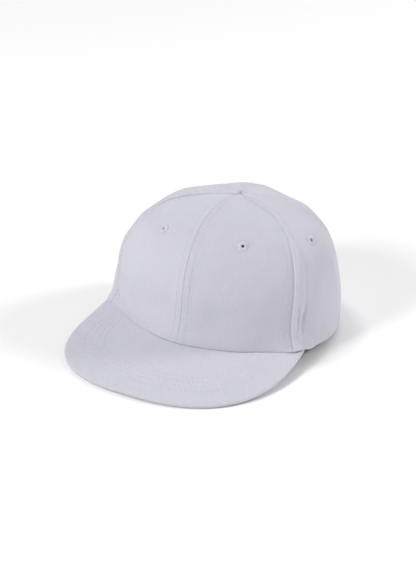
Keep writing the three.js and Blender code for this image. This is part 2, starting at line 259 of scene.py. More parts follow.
# Eyelets: a ring of strands, on cloth that is raised under it and pressed in round it
EYELET_RADIUS = 4.1
EYELET_OVER_CLOTH = 1.1
EYELET_OUT = 0.5
EYELET_STRANDS = 44
EYELET_SEED = 400
STRAND_STEPS = 8
STRAND_RIDGES = (0.6, 1.15)
STRAND_REACH = (-0.22, 0.2)
RING_STEPS = 22
RING_EDGE = {"ridge": 0.1, "power": 0.7}
RING_FACE = {"ridge": 0.12, "power": 0.5}
CLOTH_HOLE = 1.8
EYELET_SEAT = (5.8, 8)
EYELET_PAD = {"height": 0.22, "fade": (3.6, 4.4)}
EYELET_DENT = {"depth": 0.5, "distance": 4.75, "half_width": 0.6}

# Loose end of thread beside one eyelet: each way starts at one place, runs on and waves
STRAY_WAYS = {
    "across": {"start": 2.2, "run": 4.6, "wave": 0.4, "turn": 6},
    "climb": {"start": 0.3, "run": 2.0, "wave": 0.9, "turn": 4.4},
    "lift": {"start": 0.9, "run": -0.5, "wave": 0.5, "turn": math.pi},
}
STRAY_POINTS = 15
STRAY_RADIUS = 0.17
TUBE_SIDES = 8
TUBE_UP = (0.3, 0.2, 1)

# Stitches: thread is a radius, pitch goes from one stitch to the next, and share is the part of it
# that a stitch covers
CROWN_THREAD = 0.21
CROWN_PITCH = 3.1
CROWN_SHARE = 0.8
CROWN_FIRST_STITCH = 2.4
CROWN_UNSTITCHED_TIP = 9
CROWN_STITCH_SEED = 60
CROWN_STITCH_TOP = 89.5
CROWN_STITCH_SAMPLES = 700
BILL_THREAD = 0.19
BILL_PITCH = 4.0
BILL_SHARE = 0.72
BILL_FIRST_STITCH = 0.6
BILL_STITCH_CLEAR = 1.6
BILL_STITCH_SEED = 80
BILL_STITCH_ROWS = [16, 21.5, 26.8, 32.3]
STITCH_RINGS = 7
STITCH_SIDES = 6
STITCH_ASKEW = 0.06
STITCH_LENGTHS = (0.93, 1.05)
STITCH_SUNK = 0.85
STITCH_ARCH = 1.4
STITCH_END_SHARE = 0.55

# Cloth and thread. A shift moves the pattern of the weave on, so that it doesn't repeat.
CLOTH_LIGHT = (0.636, 0.632, 0.709)
CLOTH_DARK = (0.562, 0.558, 0.628)
THREAD_LIGHT = (0.64, 0.635, 0.713)
THREAD_DARK = (0.565, 0.56, 0.632)
PANEL_WEAVE_SHIFT = 7.0
BILL_WEAVE_SHIFT = 50.0
BILL_RIBS = -30
WEAVE_HEIGHT = 0.00013
YARN_IN_HEIGHT = 0.4
SLUB_IN_HEIGHT = 0.9
SLUB_IN_TONE = 0.5
RIB_IN_TONE = 0.25
CLOUD_IN_TONE = 0.4
FIBRE_HEIGHT = 0.00005

# Camera, fitted to the outline, seams and eyelets of the photograph
CAMERA_AZIMUTH = 30.43
CAMERA_ELEVATION = 24.83
CAMERA_DISTANCE = 1026.4
CAMERA_TARGET = (-18.88, 0, 24.66)
CAMERA_LENS = 75.03
CAMERA_SENSOR = 36
CAMERA_FAR_LIMIT = 50

# Floor and light: lengths in metres here, but the place that the lights shine at is in millimetres
FLOOR_HALF = 6
FLOOR_COLOUR = (0.96, 0.96, 0.96)
FLOOR_ROUGHNESS = 0.9
LIGHT_ROWS = [
    {"name": "key_light", "azimuth": -20, "elevation": 30, "power": 96},
    {"name": "side_light", "azimuth": 128, "elevation": 32, "power": 80},
    {"name": "top_light", "azimuth": -80, "elevation": 70, "power": 46},
    {"name": "back_light", "azimuth": 180, "elevation": 30, "power": 17.5},
]
LIGHT_DISTANCE = 4.6
LIGHT_SIZE = 1.2
LIGHT_TARGET = (0, -20, 50)
WORLD_COLOUR = (1, 1, 1, 1)
WORLD_STRENGTH = 0.43


def cap_origin():
    """Where the middle of the head opening lies in the frame, in millimetres."""
    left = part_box("crown_panel_back_left")[0].x
    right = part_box("crown_panel_back_right")[1].x
    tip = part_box("bill")[0].y
    return np.array([(left + right) / 2 / MM, tip / MM + OPENING_FRONT + BILL_LENGTH, 0])


ORIGIN = cap_origin()


def bell(offset, half_width):
    return np.exp(-((offset / half_width) ** 2))


def smooth(value, low, high):
    share = np.clip((value - low) / (high - low), 0, 1)
    return share * share * (3 - 2 * share)


def turn(angle, start):
    """Angle from a start, between -180 and 180."""
    return (angle - start + 180) % 360 - 180


def around(rows, column, angle):
    """Value at any angle: the cubic in cos(angle) through the four rows."""
    place = np.cos(np.radians(angle))
    total = 0
    for row in rows:
        own = math.cos(math.radians(row["angle"]))
        share = row[column]
        for other in rows:
            if other is not row:
                there = math.cos(math.radians(other["angle"]))
                share = share * (place - there) / (own - there)
        total = total + share
    return total


def outward(angle):
    turned = np.radians(angle)
    return np.stack([np.sin(turned), -np.cos(turned), np.zeros_like(turned)], -1)


def bill_top(x, y):
    return BILL_AT_FRONT + BILL_SLOPE * (y + OPENING_FRONT) - BILL_ARCH * x * x


def flare_at(angle, height):
    return sum(
        row["out"] * bell(turn(angle, row["angle"]), row["half_width"]) * np.exp(-height / row["fade"])
        for row in FLARE_ROWS
    )


def fold_at(angle, rise):
    return sum(
        row["out"]
        * bell(turn(angle, row["angle"]), row["half_width"])
        * bell(rise - row["rise"], row["half_rise"])
        for row in FOLD_ROWS
    )


def opening_point(angle):
    way = outward(angle)
    reach = np.where(np.cos(np.radians(angle)) > 0, OPENING_FRONT, OPENING_BACK)
    return np.stack([OPENING_HALF_WIDTH * way[..., 0], reach * way[..., 1], 0 * reach], -1)


def edge_height(angle, x, y):
    """Height of the crown's lower edge: on the bill in front, free behind it and flat at the back."""
    swing = np.abs(turn(angle, 0))
    behind = smooth(swing, EDGE_LEAVES_ANGLE, EDGE_FREE_ANGLE)
    landed = smooth(swing, EDGE_LANDS_ANGLE, EDGE_FLAT_ANGLE)
    free = around(EDGE_ROWS, "height", angle) * (1 - landed)
    lift = SEAT_LIFT["up"] * bell(turn(angle, SEAT_LIFT["angle"]), SEAT_LIFT["half_width"])
    seat = bill_top(x, y) + SEAT_GAP + lift
    return seat + (free - seat) * behind


def edge_point(angle):
    angle = np.asarray(angle, float)
    point = opening_point(angle) + outward(angle) * flare_at(angle, 0)[..., None]
    point[..., 2] = edge_height(angle, point[..., 0], point[..., 1])
    return point


def seam_angle(index, rise):
    row = SEAM_ROWS[index % len(SEAM_ROWS)]
    laps = index // len(SEAM_ROWS)
    bow = row["lean"] * np.sin(np.radians(2 * rise)) + row["sway"] * np.sin(np.radians(4 * rise))
    ends = row["tip"] * smooth(rise, *row["bend"]) + row["toe"] * (1 - smooth(rise, *TOE_BEND))
    return row["angle"] + 360 * laps + bow + ends


def panel_middle(angle, rise):
    """0 at a seam and 1 in the middle of a panel."""
    start = seam_angle(0, rise)
    place = (angle - start) % 360 + start
    middle = np.zeros_like(place)
    for index in range(len(SEAM_ROWS)):
        low, high = seam_angle(index, rise), seam_angle(index + 1, rise)
        inside = (place >= low) & (place < high)
        middle = np.where(inside, np.sin(np.pi * (place - low) / (high - low)), middle)
    return middle


def crown_point(angle, rise):
    """Smooth outer face of the crown, before any relief."""
    angle, rise = np.broadcast_arrays(np.asarray(angle, float), np.asarray(rise, float))
    squareness = around(PROFILE_ROWS, "squareness", angle)
    slant = np.arctan(np.tan(np.radians(rise)) ** (squareness / 2))
    bulge = around(PROFILE_ROWS, "bulge", angle) + PANEL_PUFF * panel_middle(angle, rise)
    reach = np.cos(slant) ** (2 / squareness) + bulge * np.sin(2 * slant)
    climb = np.sin(slant) ** (2 / squareness)
    low = edge_point(angle)[..., 2]
    opening = opening_point(angle)
    apex = np.array([0, APEX_BACK, 0])
    point = apex + (opening - apex) * reach[..., None]
    point[..., 2] = low + (APEX_HEIGHT - low) * climb
    fold = fold_at(angle, rise)
    flare = flare_at(angle, point[..., 2] - low)
    point += outward(angle) * (flare + fold * np.cos(np.radians(rise)))[..., None]
    point[..., 2] += fold * np.sin(np.radians(rise))
    from_apex = np.hypot(point[..., 0], point[..., 1] - APEX_BACK)
    point[..., 2] -= DIMPLE_DEPTH * bell(from_apex, DIMPLE_RADIUS)
    return point


def unit(vectors):
    return vectors / np.linalg.norm(vectors, axis=-1, keepdims=True)


def crown_normal(angle, rise):
    along = crown_point(angle + ANGLE_STEP, rise) - crown_point(angle - ANGLE_STEP, rise)
    upper = np.minimum(rise + ANGLE_STEP, 90)
    upwards = crown_point(angle, upper) - crown_point(angle, np.maximum(rise - ANGLE_STEP, 0))
    return unit(np.cross(along, upwards))


def lengths_along(points):
    """Length from the first point of each line of points to its other points."""
    steps = np.linalg.norm(np.diff(points, axis=-2), axis=-1)
    start = np.zeros(steps.shape[:-1] + (1,))
    return np.concatenate([start, np.cumsum(steps, -1)], -1)


def ripple(points, wavelength, seed, waves=RIPPLE_WAVES):
    """Smooth random relief of unit size: a sum of sine waves in random directions."""
    random = np.random.default_rng(seed)
    ways = unit(random.normal(size=(waves, points.shape[-1])))
    lengths = wavelength * random.uniform(*RIPPLE_LENGTHS, waves)
    phases = random.uniform(0, 2 * np.pi, waves)
    turns = points @ (2 * np.pi * ways / lengths[:, None]).T + phases
    return np.sin(turns).sum(-1) / math.sqrt(waves / 2)


def tip_rise(angle):
    """Rise at which a panel ends, just beside the apex."""
    reach = np.linalg.norm(opening_point(np.asarray(angle, float)) - np.array([0, APEX_BACK, 0]))
    return math.degrees(math.acos(TIP_RADIUS / reach))


# Meshes

def make_piece(name, points, faces, material, nodes=(), cloth=None, sharp=None):
    """A mesh of points in millimetres round the cap's own origin, riding on the root body."""
    mesh = bpy.data.meshes.new(name)
    mesh.from_pydata(((points + ORIGIN) * MM).tolist(), [], faces)
    if cloth is not None:
        layer = mesh.attributes.new("cloth", "FLOAT_VECTOR", "POINT")
        layer.data.foreach_set("vector", np.asarray(cloth, np.float32).ravel())
    mesh.polygons.foreach_set("use_smooth", [True] * len(mesh.polygons))
    if sharp is not None:
        mesh.set_sharp_from_angle(angle=math.radians(sharp))
    mesh.update()
    piece = bpy.data.objects.new(name, mesh)
    bpy.context.scene.collection.objects.link(piece)
    mesh.materials.append(material)
    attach(piece, "root")
    if nodes:
        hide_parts(*nodes)
    return piece


def shell_faces(rows, columns, gone):
    """Faces of a closed shell over a grid: outer sheet, inner sheet and the walls between them."""
    at = np.arange(rows * columns).reshape(rows, columns)
    quads = np.stack([at[:-1, :-1], at[:-1, 1:], at[1:, 1:], at[1:, :-1]], -1).reshape(-1, 4)
    quads = quads[~gone.reshape(-1)[quads].any(1)]
    half = rows * columns
    starts, ends = quads.ravel(), np.roll(quads, -1, 1).ravel()
    edges = set(zip(starts.tolist(), ends.tolist()))
    walls = [(b, a, a + half, b + half) for a, b in edges if (b, a) not in edges]
    return quads.tolist() + (quads[:, ::-1] + half).tolist() + sorted(walls)


def ring_faces(rings, flipped=False):
    """Faces between each closed ring of point numbers and the next."""
    after = np.roll(rings, -1, 1)
    corners = [rings[:-1], after[:-1], after[1:], rings[1:]]
    if flipped:
        corners = [corners[0]] + corners[:0:-1]
    return np.stack(corners, -1).reshape(-1, 4).tolist()


def without_loose(points, faces, cloth):
    """Drops the points that no face uses."""
    flat = np.array([corner for face in faces for corner in face])
    used, flat = np.unique(flat, return_inverse=True)
    counts = [len(face) for face in faces]
    starts = np.cumsum([0] + counts[:-1])
    renumbered = [flat[start:start + count].tolist() for start, count in zip(starts, counts)]
    return points[used], renumbered, cloth[used]


def seam_length(index, rise):
    """Length up a seam from the lower edge, so that both panels at it share their ripples."""
    fine = np.linspace(0, NEAR_APEX, FINE_SAMPLES)
    line = crown_point(seam_angle(index, fine), fine)
    return np.interp(rise, fine, lengths_along(line))


def middle_fall(distance, rise):
    """How far a front panel falls off beside the middle seam."""
    place = np.maximum(distance - FALL_START, 0) / FALL_WIDTH
    height = smooth(rise, *FALL_FOOT) * (1 - smooth(rise, *FALL_TOP)) * (1 - smooth(distance, *FALL_ENDS))
    return FALL_DEPTH * (1 - np.exp(-place)) * height


def seam_relief(index, distance, rise, scale):
    """Raised allowance, stitch groove and rolled edge beside a seam."""
    number = index % len(SEAM_ROWS)
    row = SEAM_ROWS[number]
    along = seam_length(index, rise)[..., None]
    uneven = 1 + ROLL_UNEVEN * ripple(along, ROLL_WAVELENGTH, ROLL_SEED + number, ROLL_WAVES)
    opened = 1 + row["open"] * smooth(rise, *row["opening"])
    reach = ROLL_WIDTH * np.minimum(opened, WIDEST_ROLL)
    roll = -ROLL_DEPTH * opened * np.clip(1 - distance / reach, 0, 1) ** 2 * uneven
    narrowed = np.sqrt(scale)
    distance = distance / scale
    band = BAND_RISE * (1 - smooth(distance, *BAND_ENDS))
    groove = -STITCH_GROOVE * bell(distance - STITCH_LINE, STITCH_GROOVE_WIDTH)
    if number == PROUD_SEAM:
        roll = roll * (1 - proud_share(rise))
        narrowed = np.maximum(narrowed, PROUD_LEAST_ROLL)
    if number == MIDDLE_SEAM:
        roll = MIDDLE_ROLL["share"] * roll * (1 - MIDDLE_ROLL["lost"] * smooth(rise, *MIDDLE_ROLL["fade"]))
        groove = groove - middle_fall(distance, rise)
    pucker = PUCKER_DEPTH * ripple(along, PUCKER_WAVELENGTH, PUCKER_SEED + number, PUCKER_WAVES)
    return roll * narrowed + scale * (band + groove + pucker * (1 - smooth(distance, *PUCKER_ENDS)))


def crease_line(row):
    """Bent line through the three places of a crease."""
    share = np.linspace(0, 1, CREASE_SAMPLES)
    start, middle, end = (np.array(row[key], float)[:, None] for key in ("start", "middle", "end"))
    angle, rise = (
        start * (1 - share) * (1 - 2 * share)
        + middle * 4 * share * (1 - share)
        + end * share * (2 * share - 1)
    )
    return crown_point(angle, rise)


def crease_relief(points):
    """Height of the narrow creases, which run out at both ends."""
    flat = points.reshape(-1, 3)
    relief = np.zeros(len(flat))
    for row in CREASE_ROWS:
        line = crease_line(row)
        close = np.linalg.norm(flat - line[CREASE_SAMPLES // 2], axis=1) < CREASE_REACH
        gaps = np.linalg.norm(flat[close, None] - line[None], axis=-1)
        share = gaps.argmin(1) / (CREASE_SAMPLES - 1)
        relief[close] += row["out"] * np.sin(np.pi * share) * bell(gaps.min(1), row["width"])
    return relief.reshape(points.shape[:-1])


def proud_share(rise):
    """How much of the left side panel's proud edge there is at a rise."""
    return 1 - smooth(rise, *PROUD_FADE)


def proud_side(distance, rise):
    """Height of the left side panel's edge, which lies over the front panel, and of a ridge beside it."""
    edge = -PROUD_EDGE["depth"] * np.clip(1 - distance / PROUD_EDGE["width"], 0, 1) ** 2
    step = (PROUD_HEIGHT * (1 - smooth(distance, *PROUD_WIDTH)) + edge) * proud_share(rise)
    ridge = PROUD_RIDGE["height"] * bell(distance - PROUD_RIDGE["distance"], PROUD_RIDGE["half_width"])
    return step + ridge * (1 - smooth(rise, *PROUD_RIDGE["top"])) * smooth(rise, *PROUD_RIDGE["foot"])


def front_dip(distance, rise):
    """How far the right front panel lies below the smooth crown at its seam with the side panel."""
    depth = DIP["depth"] - DIP["less"] * smooth(rise, *DIP["fade"])
    return -depth * (1 - smooth(distance, *DIP["width"]))


def from_stretch(places, start, end):
    """Distance to a straight stretch between two places."""
    way = end - start
    share = np.clip(((places - start) @ way) / (way @ way), 0, 1)
    return np.linalg.norm(places - start - share[..., None] * way, axis=-1)


def apex_groove(points, row):
    """Depth of one groove near the apex, seen from above."""
    start, end = crown_point(*row["start"])[:2], crown_point(*row["end"])[:2]
    gap = from_stretch(points[..., :2], start, end)
    return -row["depth"] * np.clip(row["steepness"] * (1 - gap / row["width"]), 0, 1)


def apex_pit(points):
    """Narrow slit at the point where the panels meet, with a fold and a soft pit behind it."""
    slit = apex_groove(points, APEX_SLIT) + apex_groove(points, APEX_FOLD)
    return np.minimum(slit, apex_groove(points, APEX_PIT))


def ripples(points, rows):
    """Slight waves of several lengths."""
    return sum(row["depth"] * ripple(points, row["wavelength"], row["seed"]) for row in rows)


def panel_relief(panel, points, low, high, scale, up, rise):
    """Height of the sewn and folded cloth over the smooth crown."""
    seam = panel["seam"]
    relief = seam_relief(seam, low, rise, scale) + seam_relief(seam + 1, high, rise, scale)
    relief = relief - EDGE_ROLL_DEPTH * np.clip(1 - up / EDGE_ROLL_WIDTH, 0, 1) ** 2
    if panel["name"] == "side_left":
        relief = relief + proud_side(low, rise)
    if panel["name"] == "front_right":
        relief = relief + front_dip(low, rise)
    relief = relief + apex_pit(points) + crease_relief(points)
    eyelet = crown_point(panel["eyelet_angle"], panel["eyelet_rise"])
    from_eyelet = np.linalg.norm(points - eyelet, axis=-1)
    pad = EYELET_PAD["height"] * (1 - smooth(from_eyelet, *EYELET_PAD["fade"]))
    dent = EYELET_DENT["depth"] * bell(from_eyelet - EYELET_DENT["distance"], EYELET_DENT["half_width"])
    inside = smooth(np.minimum(low, high), *RIPPLE_ENDS)
    relief = relief + pad - dent + inside * ripples(points, CLOTH_RIPPLES)
    return relief, from_eyelet


def panel_grid(seam):
    """Fine grid of a panel: its angles and rises, distances from both seams and from the lower edge."""
    top = tip_rise((seam_angle(seam, 0) + seam_angle(seam + 1, 0)) / 2)
    fine = np.linspace(0, top, FINE_SAMPLES)
    middle_line = crown_point((seam_angle(seam, fine) + seam_angle(seam + 1, fine)) / 2, fine)
    climbed = lengths_along(middle_line)
    count = round((climbed[-1] - EDGE_MARKS[-1]) / ROW_STEP)
    marks = np.concatenate([EDGE_MARKS[:-1], np.linspace(EDGE_MARKS[-1], climbed[-1], count)])
    rise = np.interp(marks, climbed, fine)[:, None]

    share = np.linspace(0, 1, FINE_SAMPLES)[None, :]
    start, end = seam_angle(seam, rise), seam_angle(seam + 1, rise)
    angles = start + (end - start) * share
    across = lengths_along(crown_point(angles, rise))
    width = across[:, -1:]
    scale = np.minimum(1, width / 2 / NARROW_PANEL)
    near = np.array(SEAM_MARKS)[None, :] * scale
    steps = np.linspace(0, 1, MIDDLE_COLUMNS + 2)[None, 1:-1]
    middle = near[:, -1:] + (width - 2 * near[:, -1:]) * steps
    low = np.concatenate([near, middle, width - near[:, ::-1]], 1)
    angle = np.stack([np.interp(low[row], across[row], angles[row]) for row in range(len(marks))])
    rise = np.broadcast_to(rise, low.shape)
    up = np.broadcast_to(marks[:, None], low.shape)
    return angle, rise, low, width - low, scale, up


def crown_panel(panel, material):
    """One sewn panel of cloth with its hole. Gives the place of its eyelet."""
    name, seam = panel["name"], panel["seam"]
    angle, rise, low, high, scale, up = panel_grid(seam)
    base = crown_point(angle, rise)
    normal = crown_normal(angle, rise)
    relief, from_eyelet = panel_relief(panel, base, low, high, scale, up, rise)
    outer = base + normal * relief[..., None]
    inner = base + normal * (np.minimum(relief, 0) - CLOTH)[..., None]
    inner[0, :, 2] = outer[0, :, 2]
    across = (low - high) / 2
    cloth = np.stack([across, up, np.full_like(up, PANEL_WEAVE_SHIFT * seam)], -1)
    faces = shell_faces(*low.shape, from_eyelet < CLOTH_HOLE)
    points = np.concatenate([outer.reshape(-1, 3), inner.reshape(-1, 3)])
    cloth = np.concatenate([cloth.reshape(-1, 3)] * 2)
    points, faces, cloth = without_loose(points, faces, cloth)
    nodes = [f"crown_panel_{name}"]
    make_piece(f"cloth_{name}", points, faces, material, nodes, cloth, PANEL_SHARP)
    return eyelet_seat(panel, outer, relief, from_eyelet)


def eyelet_seat(panel, outer, relief, from_eyelet):
    """Point and normal of the cloth under an eyelet, from the finished panel round it."""
    centre = crown_point(panel["eyelet_angle"], panel["eyelet_rise"])
    normal = crown_normal(panel["eyelet_angle"], panel["eyelet_rise"])
    near = (from_eyelet > EYELET_SEAT[0]) & (from_eyelet < EYELET_SEAT[1])
    spread = outer[near] - outer[near].mean(0)
    flat = np.linalg.svd(spread, full_matrices=False)[2][2]
    tip = normal[2] * math.sin(math.radians(panel["lean"]))
    facing = flat * np.sign(flat @ normal) - np.array([0, 0, tip])
    return centre + normal * np.median(relief[near]), unit(facing)


def stitches(name, middles, alongs, normals, length, radius, material, seed):
    """Short arched lengths of thread, each with both ends in the cloth."""
    random = np.random.default_rng(seed)
    count = len(middles)
    rings, sides = STITCH_RINGS, STITCH_SIDES
    along = unit(alongs + STITCH_ASKEW * random.normal(size=alongs.shape))
    side = unit(np.cross(normals, along))
    place = np.linspace(-1, 1, rings)
    arch = np.sqrt(np.clip(1 - place ** 2, 0, 1))
    height = radius * (STITCH_ARCH * arch - STITCH_SUNK)
    swell = radius * (STITCH_END_SHARE + (1 - STITCH_END_SHARE) * arch)
    reach = length / 2 * random.uniform(*STITCH_LENGTHS, count)
    centre = (
        middles[:, None]
        + along[:, None] * (place[None, :] * reach[:, None])[..., None]
        + normals[:, None] * height[None, :, None]
    )
    turned = 2 * np.pi * np.arange(sides) / sides
    ring = (
        side[:, None, None] * np.cos(turned)[None, None, :, None]
        + normals[:, None, None] * np.sin(turned)[None, None, :, None]
    )
    tube = centre[:, :, None] + ring * swell[None, :, None, None]
    points = np.concatenate([tube.reshape(count, -1, 3), centre[:, :1], centre[:, -1:]], 1)
    faces = ring_faces(np.arange(rings * sides).reshape(rings, sides))
    first, last, top = rings * sides, rings * sides + 1, (rings - 1) * sides
    for step in range(sides):
        after = (step + 1) % sides
        faces.append((first, after, step))
        faces.append((last, top + step, top + after))
    per_stitch = points.shape[1]
    all_faces = [
        tuple(corner + per_stitch * index for corner in face) for index in range(count) for face in faces
    ]
    return make_piece(name, points.reshape(-1, 3), all_faces, material)


def seam_stitches(index, material):
    """Topstitching on both sides of a seam."""
    fine = np.linspace(0, CROWN_STITCH_TOP, CROWN_STITCH_SAMPLES)
    line = crown_point(seam_angle(index, fine), fine)
    climbed = lengths_along(line)
    marks = np.arange(CROWN_FIRST_STITCH, climbed[-1] - CROWN_UNSTITCHED_TIP, CROWN_PITCH)
    rise = np.interp(marks, climbed, fine)
    angle = seam_angle(index, rise)
    width = np.linalg.norm(
        crown_point(angle + ANGLE_STEP, rise) - crown_point(angle - ANGLE_STEP, rise), axis=-1
    ) / (2 * ANGLE_STEP)
    centres, alongs, normals = [], [], []
    for sign in (-1, 1):
        panel = PANELS[index if sign > 0 else index - 1]
        start, end = seam_angle(panel["seam"], rise), seam_angle(panel["seam"] + 1, rise)
        span = (end - start) * width
        scale = np.minimum(1, span / 2 / NARROW_PANEL)
        offset = STITCH_LINE * scale
        place = angle + sign * offset / width
        base = crown_point(place, rise)
        normal = crown_normal(place, rise)
        low, high = (offset, span - offset) if sign > 0 else (span - offset, offset)
        relief = panel_relief(panel, base, low, high, scale, marks, rise)[0]
        base = base + normal * relief[..., None]
        centres.append(base)
        alongs.append(unit(np.gradient(base, axis=0)))
        normals.append(normal)
    return stitches(
        f"topstitch_{SEAM_ROWS[index]['name']}",
        np.concatenate(centres), np.concatenate(alongs), np.concatenate(normals),
        CROWN_PITCH * CROWN_SHARE, CROWN_THREAD, material, seed=CROWN_STITCH_SEED + index,
    )


def squared_off(value, power):
    """A sine or cosine that keeps its sign and turns a circle into a squarer ring."""
    return np.sign(value) * np.abs(value) ** power


def eyelet_ring(panel, seat, material):
    """Ring of radial threads through the hole, with uneven strands."""
    name = panel["name"]
    centre, normal = seat
    side = unit(np.cross(normal, np.array([0, 0, 1.0])))
    upward = np.cross(side, normal)
    random = np.random.default_rng(int(panel["eyelet_angle"]) + EYELET_SEED)
    turns = EYELET_STRANDS * STRAND_STEPS
    theta = 2 * np.pi * np.arange(turns) / turns
    strand = np.arange(turns) // STRAND_STEPS
    hump = np.sin(np.pi * (np.arange(turns) % STRAND_STEPS) / STRAND_STEPS)
    ridge = hump * random.uniform(*STRAND_RIDGES, EYELET_STRANDS)[strand]
    outer_edge = EYELET_RADIUS + random.uniform(*STRAND_REACH, EYELET_STRANDS)[strand] * hump
    middle = (outer_edge + panel["hole"]) / 2
    band = (outer_edge - panel["hole"]) / 2 + RING_EDGE["ridge"] * (ridge - 1)
    half = (CLOTH + EYELET_OVER_CLOTH) / 2
    thick = half + RING_FACE["ridge"] * (ridge - 1)
    swing = 2 * np.pi * np.arange(RING_STEPS) / RING_STEPS
    outwards = squared_off(np.cos(swing), RING_EDGE["power"])[None, :]
    upwards = squared_off(np.sin(swing), RING_FACE["power"])[None, :]
    radius = middle[:, None] + band[:, None] * outwards
    depth = EYELET_OUT - half + thick[:, None] * upwards
    points = (
        centre
        + (radius * np.cos(theta)[:, None])[..., None] * side
        + (radius * np.sin(theta)[:, None])[..., None] * upward
        + depth[..., None] * normal
    )
    at = np.arange(turns * RING_STEPS).reshape(turns, RING_STEPS)
    faces = ring_faces(np.concatenate([at, at[:1]]), flipped=True)
    return make_piece(
        f"sewn_eyelet_{name}", points.reshape(-1, 3), faces, material, [f"eyelet_{name}"],
    )


def tube(name, line, radius, material):
    """Closed tube round a line of points."""
    tangent = unit(np.gradient(line, axis=0))
    side = unit(np.cross(tangent, TUBE_UP))
    upward = np.cross(side, tangent)
    turned = 2 * np.pi * np.arange(TUBE_SIDES) / TUBE_SIDES
    ring = side[:, None] * np.cos(turned)[None, :, None] + upward[:, None] * np.sin(turned)[None, :, None]
    points = (line[:, None] + radius * ring).reshape(-1, 3)
    at = np.arange(len(points)).reshape(len(line), TUBE_SIDES)
    faces = ring_faces(at, flipped=True) + [at[0].tolist(), at[-1, ::-1].tolist()]
    return make_piece(name, points, faces, material)


def stray_thread(seat, material):
    """One loose end beside an eyelet."""
    centre, normal = seat
    side = unit(np.cross(np.array([0, 0, 1.0]), normal))
    upward = np.cross(normal, side)
    share = np.linspace(0, 1, STRAY_POINTS)[:, None]
    across, climb, lift = (
        row["start"] + row["run"] * share + row["wave"] * np.sin(row["turn"] * share)
        for row in STRAY_WAYS.values()
    )
    line = centre + side * across + upward * climb + normal * lift
    return tube("stray_thread", line, STRAY_RADIUS, material)


# Bill

def bill_outline():
    """Dense outer edge of the bill in plan, from the wearer's right round the front."""
    tip = -(OPENING_FRONT + BILL_LENGTH)
    lines = {}
    for sign, form in BILL_SIDES.items():
        end = edge_point(sign * BILL_END_ANGLE)
        along = np.linspace(0, 1, SIDE_SAMPLES)[1:]
        wide = sign * form["half_width"]
        x = wide + (end[0] - wide) * along ** 2
        y = -form["widest"] + (end[1] + form["widest"]) * along
        side = np.stack([x, y], -1)[::-1]
        swing = np.radians(np.linspace(90, 0, SWING_SAMPLES))
        power = 2 / form["squareness"]
        across, forward = np.sin(swing), np.maximum(np.cos(swing), 0)
        y = -form["widest"] + (tip + form["widest"]) * forward ** power
        front = np.stack([wide * across ** power, y], -1)
        lines[sign] = np.concatenate([side, front])
    dense = np.concatenate([lines[-1], lines[1][-2::-1]])
    along = lengths_along(dense)
    even = np.linspace(0, along[-1], OUTLINE_POINTS)
    return np.stack([np.interp(even, along, dense[:, axis]) for axis in (0, 1)], -1)


OUTLINE = bill_outline()


def from_outline(x, y):
    """Distance in plan to the bill's outer edge."""
    flat = np.stack([x.ravel(), y.ravel()], -1)
    near = np.full(len(flat), np.inf)
    for start in range(0, len(flat), PLACES_AT_ONCE):
        block = flat[start:start + PLACES_AT_ONCE]
        gaps = np.linalg.norm(block[:, None] - OUTLINE[None, ::OUTLINE_STRIDE], axis=-1)
        near[start:start + PLACES_AT_ONCE] = gaps.min(1)
    return near.reshape(x.shape)


def bill_relief(x, y, distance):
    """Stitch grooves and slight waves of the bill's cloth."""
    grooves = sum(bell(distance - row, BILL_GROOVE["half_width"]) for row in BILL_STITCH_ROWS)
    swells = sum(
        bell(distance - (outer + inner) / 2, BILL_SWELL["half_width"])
        for outer, inner in zip(BILL_STITCH_ROWS, BILL_STITCH_ROWS[1:])
    )
    waves = ripples(np.stack([x, y], -1), BILL_RIPPLES)
    return BILL_SWELL["height"] * swells - BILL_GROOVE["depth"] * grooves + waves


def bill(material):
    """Board in cloth: an upper and a lower face, a rounded edge and the ends beside the crown."""
    picks = np.linspace(0, len(OUTLINE) - 1, BILL_COLUMNS + 1)
    ends = np.stack([np.interp(picks, np.arange(len(OUTLINE)), OUTLINE[:, axis]) for axis in (0, 1)], -1)
    angle = np.linspace(-BILL_END_ANGLE, BILL_END_ANGLE, BILL_COLUMNS + 1)
    inner = (edge_point(angle) - outward(angle) * BILL_TUCK)[:, :2]
    outwards = unit(ends - inner)
    radius = BILL_THICKNESS / 2
    rim = ends - outwards * radius
    share = np.linspace(0, 1, BILL_ROWS + 1)[None, :, None]
    plan = inner[:, None] + (rim - inner)[:, None] * share
    x, y = plan[..., 0], plan[..., 1]
    relief = bill_relief(x, y, from_outline(x, y))
    settle = 1 - smooth(share[..., 0], *BILL_SETTLE)
    top = bill_top(x, y) + relief * settle
    bottom = bill_top(x, y) - BILL_THICKNESS - BILL_UNDER_SHARE * relief * settle
    swing = np.pi * np.arange(1, BILL_EDGE_STEPS) / BILL_EDGE_STEPS
    pinch = 1 - BILL_PINCH["depth"] * bell(swing - BILL_PINCH["turn"], BILL_PINCH["half_width"])
    edge_plan = rim[:, None] + outwards[:, None] * (radius * np.sin(swing) * pinch)[None, :, None]
    edge_z = bill_top(edge_plan[..., 0], edge_plan[..., 1]) - radius * (1 - np.cos(swing))[None, :]
    section = np.concatenate([
        np.concatenate([plan, top[..., None]], -1),
        np.concatenate([edge_plan, edge_z[..., None]], -1),
        np.concatenate([plan, bottom[..., None]], -1)[:, ::-1],
    ], 1)
    columns, count = section.shape[:2]
    quads = ring_faces(np.arange(columns * count).reshape(columns, count))
    last = (columns - 1) * count
    for step in range(count // 2):
        facing = count - 1 - step
        if facing - 1 > step + 1:
            quads.append((step, facing, facing - 1, step + 1))
            quads.append((last + step, last + step + 1, last + facing - 1, last + facing))
    points = section.reshape(-1, 3)
    cloth = np.stack([points[:, 0], points[:, 1], np.full(len(points), BILL_WEAVE_SHIFT)], -1)
    return make_piece("cloth_bill", points, quads, material, ["bill"], cloth, BILL_SHARP)


